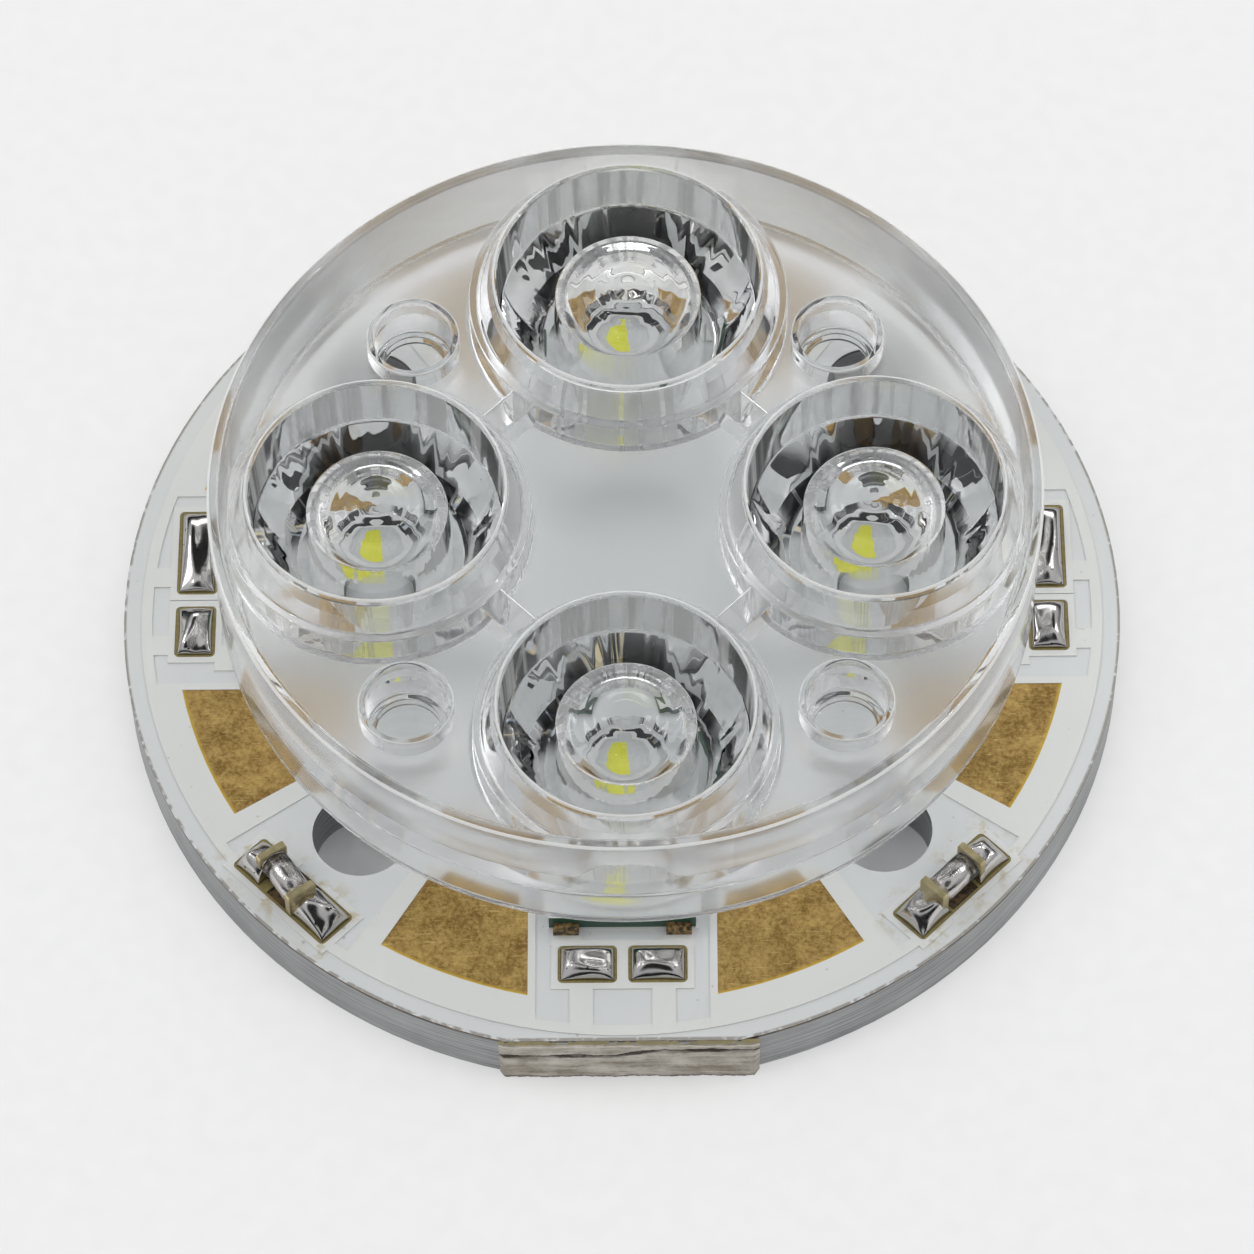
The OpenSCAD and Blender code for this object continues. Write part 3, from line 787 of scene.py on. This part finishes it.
# %% White mask
mask_finish, paint = new_finish("white_mask")
at = paint.place()
x, y, z = paint.axes(at)
over_copper = z > 3.205
cloud = paint.noise(at, 130.0, 1.0)
speck = paint.noise(at, 2600.0, 1.0)
dirt = paint.noise(at, 2400.0, 1.0, 0.4).step(0.76, 0.8)
bare = paint.mix(cloud, rgb(206, 208, 208), rgb(216, 218, 217))
raised = paint.mix(cloud, rgb(211, 212, 210), rgb(222, 223, 219))
colour = paint.mix(over_copper, bare, raised)
ax, ay = abs(x), abs(y)
across = abs(ax - ay) * math.sqrt(0.5) - 3.2
outward = abs((ax + ay) * math.sqrt(0.5) - 22.76) - 1.08
away = across.most(outward)
film = (1 - away.step(0.0, 1.3)) * paint.noise(at, 900.0, 3.0, 0.65).step(0.5, 0.66) * (y < 0.0)
colour = paint.mix(film * 0.6, colour, rgb(176, 160, 104))
colour = paint.mix(dirt * 0.35, colour, rgb(120, 112, 98))
radius = (x * x + y * y).root()
at_rim = radius.step(24.82, 24.93).most((0 - y).step(24.16, 24.26))
burr = at_rim * (cloud * 0.4 + speck).step(0.5, 0.72)
colour = paint.mix(burr * 0.6, colour, rgb(92, 74, 50))
surface(
    paint, Base_Color=colour, Roughness=0.26 + speck * 0.12, Coat_Weight=0.35,
    Normal=paint.bump(paint.noise(at, 420.0, 1.0), 0.02 * MM)
)
dress(mask_finish, "solder_mask")

# %% [markdown]
# ## Aluminium and its dielectric
# The rim of the board was milled, which leaves fine lines round it. Noise that is stretched along
# the rim and squeezed in height gives the lines: the height is multiplied by a much larger number
# than the other two axes.

# %% Milled aluminium
metal, paint = new_finish("bare_aluminium")
at = paint.place()
x, y, z = paint.axes(at)
lines = paint.noise(paint.scaled(at, (120.0, 120.0, 9000.0)), 1.0, 5.0, 0.6)
blotch = paint.noise(at, 260.0, 4.0)
tone = (lines * 0.7 + blotch * 0.3).step(0.3, 0.7)
colour = paint.mix(tone, rgb(122, 123, 124), rgb(182, 183, 184))
top_line = z.step(2.86, 2.96) * blotch.step(0.3, 0.6)
colour = paint.mix(top_line * 0.8, colour, rgb(62, 50, 36))
surface(
    paint, Base_Color=colour, Metallic=0.85, Roughness=0.36 + blotch * 0.16,
    Normal=paint.bump(lines, 0.03 * MM, 0.8)
)
dress(metal, "core_plate")

resin, paint = new_finish("dielectric")
speck = paint.noise(paint.place(), 2400.0, 4.0, 0.7)
brown = paint.mix(speck.step(0.35, 0.7), rgb(34, 28, 20), rgb(112, 88, 54))
surface(paint, Base_Color=brown, Roughness=0.6)
dress(resin, "dielectric_layer")

# %% [markdown]
# ## Solder
# Melted solder on a square pad pulls itself into a pillow: high in the middle, with soft ridges
# that run to the corners, and polished like a mirror. The height is the product of two flat-topped
# arches, one across and one along the pad, with slow waves and a lean of the summit.

# %% Solder pillows
mirror, paint = new_finish("bright_solder")
at = paint.place()
haze = paint.noise(at, 500.0, 3.0, 0.5)
pits = paint.noise(at, 3600.0, 2.0)
tin = paint.mix(haze, rgb(178, 175, 172), rgb(222, 220, 218))
surface(
    paint, Base_Color=paint.mix(pits.step(0.66, 0.72), tin, rgb(70, 56, 44)), Metallic=1.0,
    Roughness=0.08 + haze * 0.14, Normal=paint.bump(haze, 0.08 * MM, 0.5)
)
waves = np.random.default_rng(7)


def pillow(name, low, high, height, turn_by, lean=0.0, place=(0, 0), base=3.2, n=49):
    """A closed pillow over the rectangle low..high: its height is h (1 - |u|^3)^0.55 (1 - |v|^3)^0.55,
    plus slow waves and a lean of its summit."""
    u, v = np.meshgrid(np.linspace(-1, 1, n), np.linspace(-1, 1, n), indexing="ij")
    soft = ((1 - abs(u) ** 3).clip(0) * (1 - abs(v) ** 3).clip(0)) ** 0.55
    a, b, c, d = waves.uniform(-1, 1, 4)
    wave = 0.07 * np.sin(3 * u + a) * np.cos(2.5 * v + b) + 0.05 * np.sin(4 * v + c + 2 * u * d)
    z = base + height * soft * (1 + lean * u + wave * 2)
    pinch = 1 - 0.05 * (1 - u ** 2) * (1 + a * 0.3)
    x = low[0] + (u + 1) / 2 * (high[0] - low[0])
    y = (low[1] + high[1]) / 2 + v * pinch * (high[1] - low[1]) / 2
    t = math.radians(turn_by)
    px = place[0] + x * math.cos(t) - y * math.sin(t)
    py = place[1] + x * math.sin(t) + y * math.cos(t)
    top_points = np.stack([px, py, z], axis=-1).reshape(-1, 3)
    index = np.arange(n * n).reshape(n, n)
    border = np.concatenate([index[:-1, 0], index[-1, :-1], index[:0:-1, -1], index[0, :0:-1]])
    below = top_points[border].mean(axis=0) * [1, 1, 0] + [0, 0, base - 0.01]
    fan = np.stack([np.full(len(border), n * n), border, np.roll(border, -1)], axis=-1)[:, ::-1]
    piece = new_piece(name, np.concatenate([top_points, [below]]), grid_quads(n, n)[:, ::-1], fan)
    piece.data.materials.append(mirror)
    return piece


def joined(name, parts):
    """Several new pieces made one."""
    with bpy.context.temp_override(active_object=parts[0], selected_editable_objects=parts):
        bpy.ops.object.join()
    parts[0].name = parts[0].data.name = name
    return parts[0]


SPOKES = {"front": 180, "rear": 0, "left": 90, "right": -90}
PADS = {
    "front": [(-3.15, -0.27), (0.27, 3.15)], "rear": [(-3.15, -0.27), (0.27, 3.15)],
    "left": [(-2.7, 0.26), (0.97, 5.9)], "right": [(-5.9, -0.97), (-0.26, 2.7)],
}
margin, pad_depth = 0.13, 2.04
for side, angle in SPOKES.items():
    outer = 21.27 if side in ("front", "rear") else 22.4
    low, high = outer - pad_depth + margin, outer - margin
    parts = [
        pillow(f"{side}_{k}", (a + margin, low), (b - margin, high), 0.6, angle)
        for k, (a, b) in enumerate(PADS[side])
    ]
    joints = joined(f"solder_{side}", parts)
    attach(joints, "root")
    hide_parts(f"solder_joints_{side}")
print("solder on", len(SPOKES), "spokes")

# %% [markdown]
# ## Glass diodes
# Each diode is a short glass tube with a square metal cap at both ends. Inside the glass sits a
# silvery body. The caps are sections of a rounded square, carried a short way along the diode. The
# solder beside the caps is higher at the outside, where it wetted the cap's end face.

# %% Diodes
metal_cap, paint = new_finish("diode_caps")
speck = paint.noise(paint.place(), 2600.0, 4.0, 0.6)
surface(
    paint, Base_Color=paint.mix(speck, rgb(150, 138, 96), rgb(220, 206, 164)), Metallic=0.9,
    Roughness=0.28 + speck * 0.15, Normal=paint.bump(speck, 0.015 * MM)
)
silver, paint = new_finish("silver_body")
speck = paint.noise(paint.scaled(paint.place(), (400.0, 400.0, 400.0)), 3.0, 4.0, 0.6)
surface(
    paint, Base_Color=paint.mix(speck, rgb(176, 172, 170), rgb(232, 226, 222)), Metallic=1.0,
    Roughness=0.14, Normal=paint.bump(speck, 0.05 * MM, 0.5)
)
tube_glass = clear("diode_glass", 0.02, 1.5)


def turned_bar(name, stations, power, at, degrees, steps=64):
    """A closed bar along its own X axis. Each station (x, half width) has a section on the curve
    |y|^p + |z|^p = 1, which is a circle for p = 2 and a rounded square for a larger p."""
    a = np.linspace(0, 2 * np.pi, steps, endpoint=False)
    c, s = np.cos(a), np.sin(a)
    round_y = np.sign(c) * abs(c) ** (2 / power)
    round_z = np.sign(s) * abs(s) ** (2 / power)
    stations = np.asarray(stations, float)
    x = stations[:, :1] + 0 * round_y
    y, z = stations[:, 1:] * round_y, stations[:, 1:] * round_z
    t = math.radians(degrees)
    points = np.stack([
        at[0] + x * math.cos(t) - y * math.sin(t), at[1] + x * math.sin(t) + y * math.cos(t), at[2] + z
    ], axis=-1)
    return bar(name, points, points[[0, -1]].mean(axis=1))


DIODES = {"front_left": (-1, -1), "front_right": (1, -1), "rear_left": (-1, 1), "rear_right": (1, 1)}
diode_r, film_t, cap_half = 22.76, 0.06, 0.8
CORE = [(-1.08, 0.5), (-0.8, 0.66), (-0.2, 0.68), (0.2, 0.68), (0.8, 0.66), (1.08, 0.5)]
CAP = np.array([
    (1.12, cap_half - 0.04), (1.15, cap_half), (1.47, cap_half), (1.51, cap_half - 0.04)
])
for name, (sx, sy) in DIODES.items():
    spoke = math.degrees(math.atan2(sy, sx))
    frame_turn = spoke + 90
    skew, slid = (-11, -0.4) if name == "front_left" else (0, 0)
    centre = [diode_r * math.cos(math.radians(spoke)), diode_r * math.sin(math.radians(spoke))]
    run = (slid * math.cos(math.radians(frame_turn)), slid * math.sin(math.radians(frame_turn)))
    at = (centre[0] + run[0], centre[1] + run[1], 3.2 + film_t + cap_half)
    angle = frame_turn + skew
    glass = turned_bar(f"glass_{name}", [(-1.1, 0.74), (1.1, 0.74)], 2, at, angle)
    core = turned_bar(f"core_{name}", CORE, 2, at, angle)
    caps = joined(f"caps_{name}", [
        turned_bar(f"cap_{name}", (CAP * (end, 1))[::end], 16, at, angle, 128) for end in (-1, 1)
    ])
    solder = joined(f"diode_solder_{name}", [
        pillow(
            f"blob_{name}", (1.05 + end * slid, -0.95), (3.06, 0.95), 1.05,
            frame_turn + (0 if end > 0 else 180), -0.25, centre
        )
        for end in (-1, 1)
    ])
    glass.data.materials.append(tube_glass)
    core.data.materials.append(silver)
    caps.data.materials.append(metal_cap)
    crease(glass, 40), crease(caps, 22), crease(core, 60)
    for piece, node, slot in (
        (glass, "diode_glass", "diode_glass"), (caps, "diode_caps", "diode_caps"),
        (solder, "diode_solder", "bright_solder"),
    ):
        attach(piece, "root")
        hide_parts(f"{node}_{name}")
    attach(core, "root")
print("4 diodes with caps, bodies and solder")

# %% [markdown]
# ## The snapped edge
# At the front the board was snapped out of its panel along a groove. The broken face is rough: a
# smear of resin at the top, a crack that steps upwards on its way to the right, and a foot that
# stands prouder. A sheet over a grid gives all of it: its depth is a sum of steps and waves in x
# and z.

# %% The broken face
cols, rows = 260, 60
snap_left, snap_right, snap_y = -6.0, 6.6, -24.35
gx, gz = np.meshgrid(
    np.linspace(snap_left, snap_right, cols), np.linspace(0.02, 3.08, rows), indexing="xy"
)
crack = 1.75 + 0.45 / (1 + np.exp(-(gx - 0.6) / 0.5)) + 0.05 * np.sin(1.9 * gx)
proud = 0.02 + 0.1 / (1 + np.exp((gz - crack) / 0.05)) + 0.24 * (1 - gz / 3.2) ** 1.2
proud += 0.05 * np.exp(-((gz - 2.6) / 0.1) ** 2) - 0.1 * np.exp(-((gz - crack) / 0.05) ** 2)
for kx, kz, size in ((2.1, 3.3, 0.02), (5.3, 7.1, 0.014), (11.0, 12.7, 0.01), (23.0, 17.0, 0.007)):
    a, b = waves.uniform(0, 6.28, 2)
    proud += size * np.sin(kx * gx + a + 1.3 * np.sin(0.7 * kx * gz)) * np.sin(kz * gz + b)
edge_fade = np.minimum(1, np.minimum(gx - snap_left, snap_right - gx) / 0.25)
face_points = np.stack([gx, snap_y - proud * edge_fade + 0.02, gz], axis=-1)
back_points = np.stack([gx, np.full_like(gx, snap_y + 0.07), gz], axis=-1)
shell = np.concatenate([face_points.reshape(-1, 3), back_points.reshape(-1, 3)])
front_quads = grid_quads(rows, cols)
index = np.arange(rows * cols).reshape(rows, cols)
border = np.concatenate([index[0, :-1], index[:-1, -1], index[-1, :0:-1], index[:0:-1, 0]])
after = np.roll(border, -1)
band = np.stack([border, border + rows * cols, after + rows * cols, after], axis=-1)
snapped = new_piece(
    "snapped_face", shell, np.concatenate([front_quads, front_quads[:, ::-1] + rows * cols, band])
)
crease(snapped, 50)
torn_metal, paint = new_finish("torn_aluminium")
at = paint.place()
x, y, z = paint.axes(at)
streak = paint.noise(paint.scaled(at, (260.0, 260.0, 2600.0)), 1.0, 6.0, 0.7)
blotch = paint.noise(at, 700.0, 5.0, 0.65)
wave = paint.noise(paint.scaled(at, (700.0, 0.0, 0.0)), 1.0, 3.0)
grit = streak * 0.6 + blotch * 0.4
colour = paint.mix(grit.step(0.35, 0.65), rgb(134, 125, 110), rgb(208, 203, 194))
crack_line = (x - 0.6).step(-1.5, 1.5) * 0.45 + 1.75 + wave * 0.16 - 0.08
# Painted shade: a dark line along the crack, in patches
crack_shade = 1 - abs(z - crack_line).step(0.02, 0.11)
colour = paint.mix(crack_shade * blotch.step(0.3, 0.5) * 0.85, colour, rgb(48, 40, 32))
resin_line = (z + wave * 0.3).step(2.86, 2.94)
colour = paint.mix(resin_line, colour, paint.mix(blotch, rgb(110, 102, 66), rgb(172, 160, 116)))
pale_line = 1 - abs(z + wave * 0.5 - 2.84).step(0.02, 0.08)
colour = paint.mix(pale_line * 0.8, colour, rgb(226, 220, 206))
colour = paint.mix((1 - z.step(0.05, 0.16)) * 0.7, colour, rgb(60, 50, 38))
surface(
    paint, Base_Color=colour, Metallic=0.5 - resin_line * 0.45, Roughness=0.45 + streak * 0.2,
    Normal=paint.bump(grit, 0.12 * MM, 0.9)
)
snapped.data.materials.append(torn_metal)
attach(snapped, "root")
print("broken face:", len(snapped.data.polygons), "faces")

# %% [markdown]
# ## Last steps
# The colours are shown with the standard view transform.

# %% The view transform
bpy.context.scene.view_settings.view_transform = "Standard"
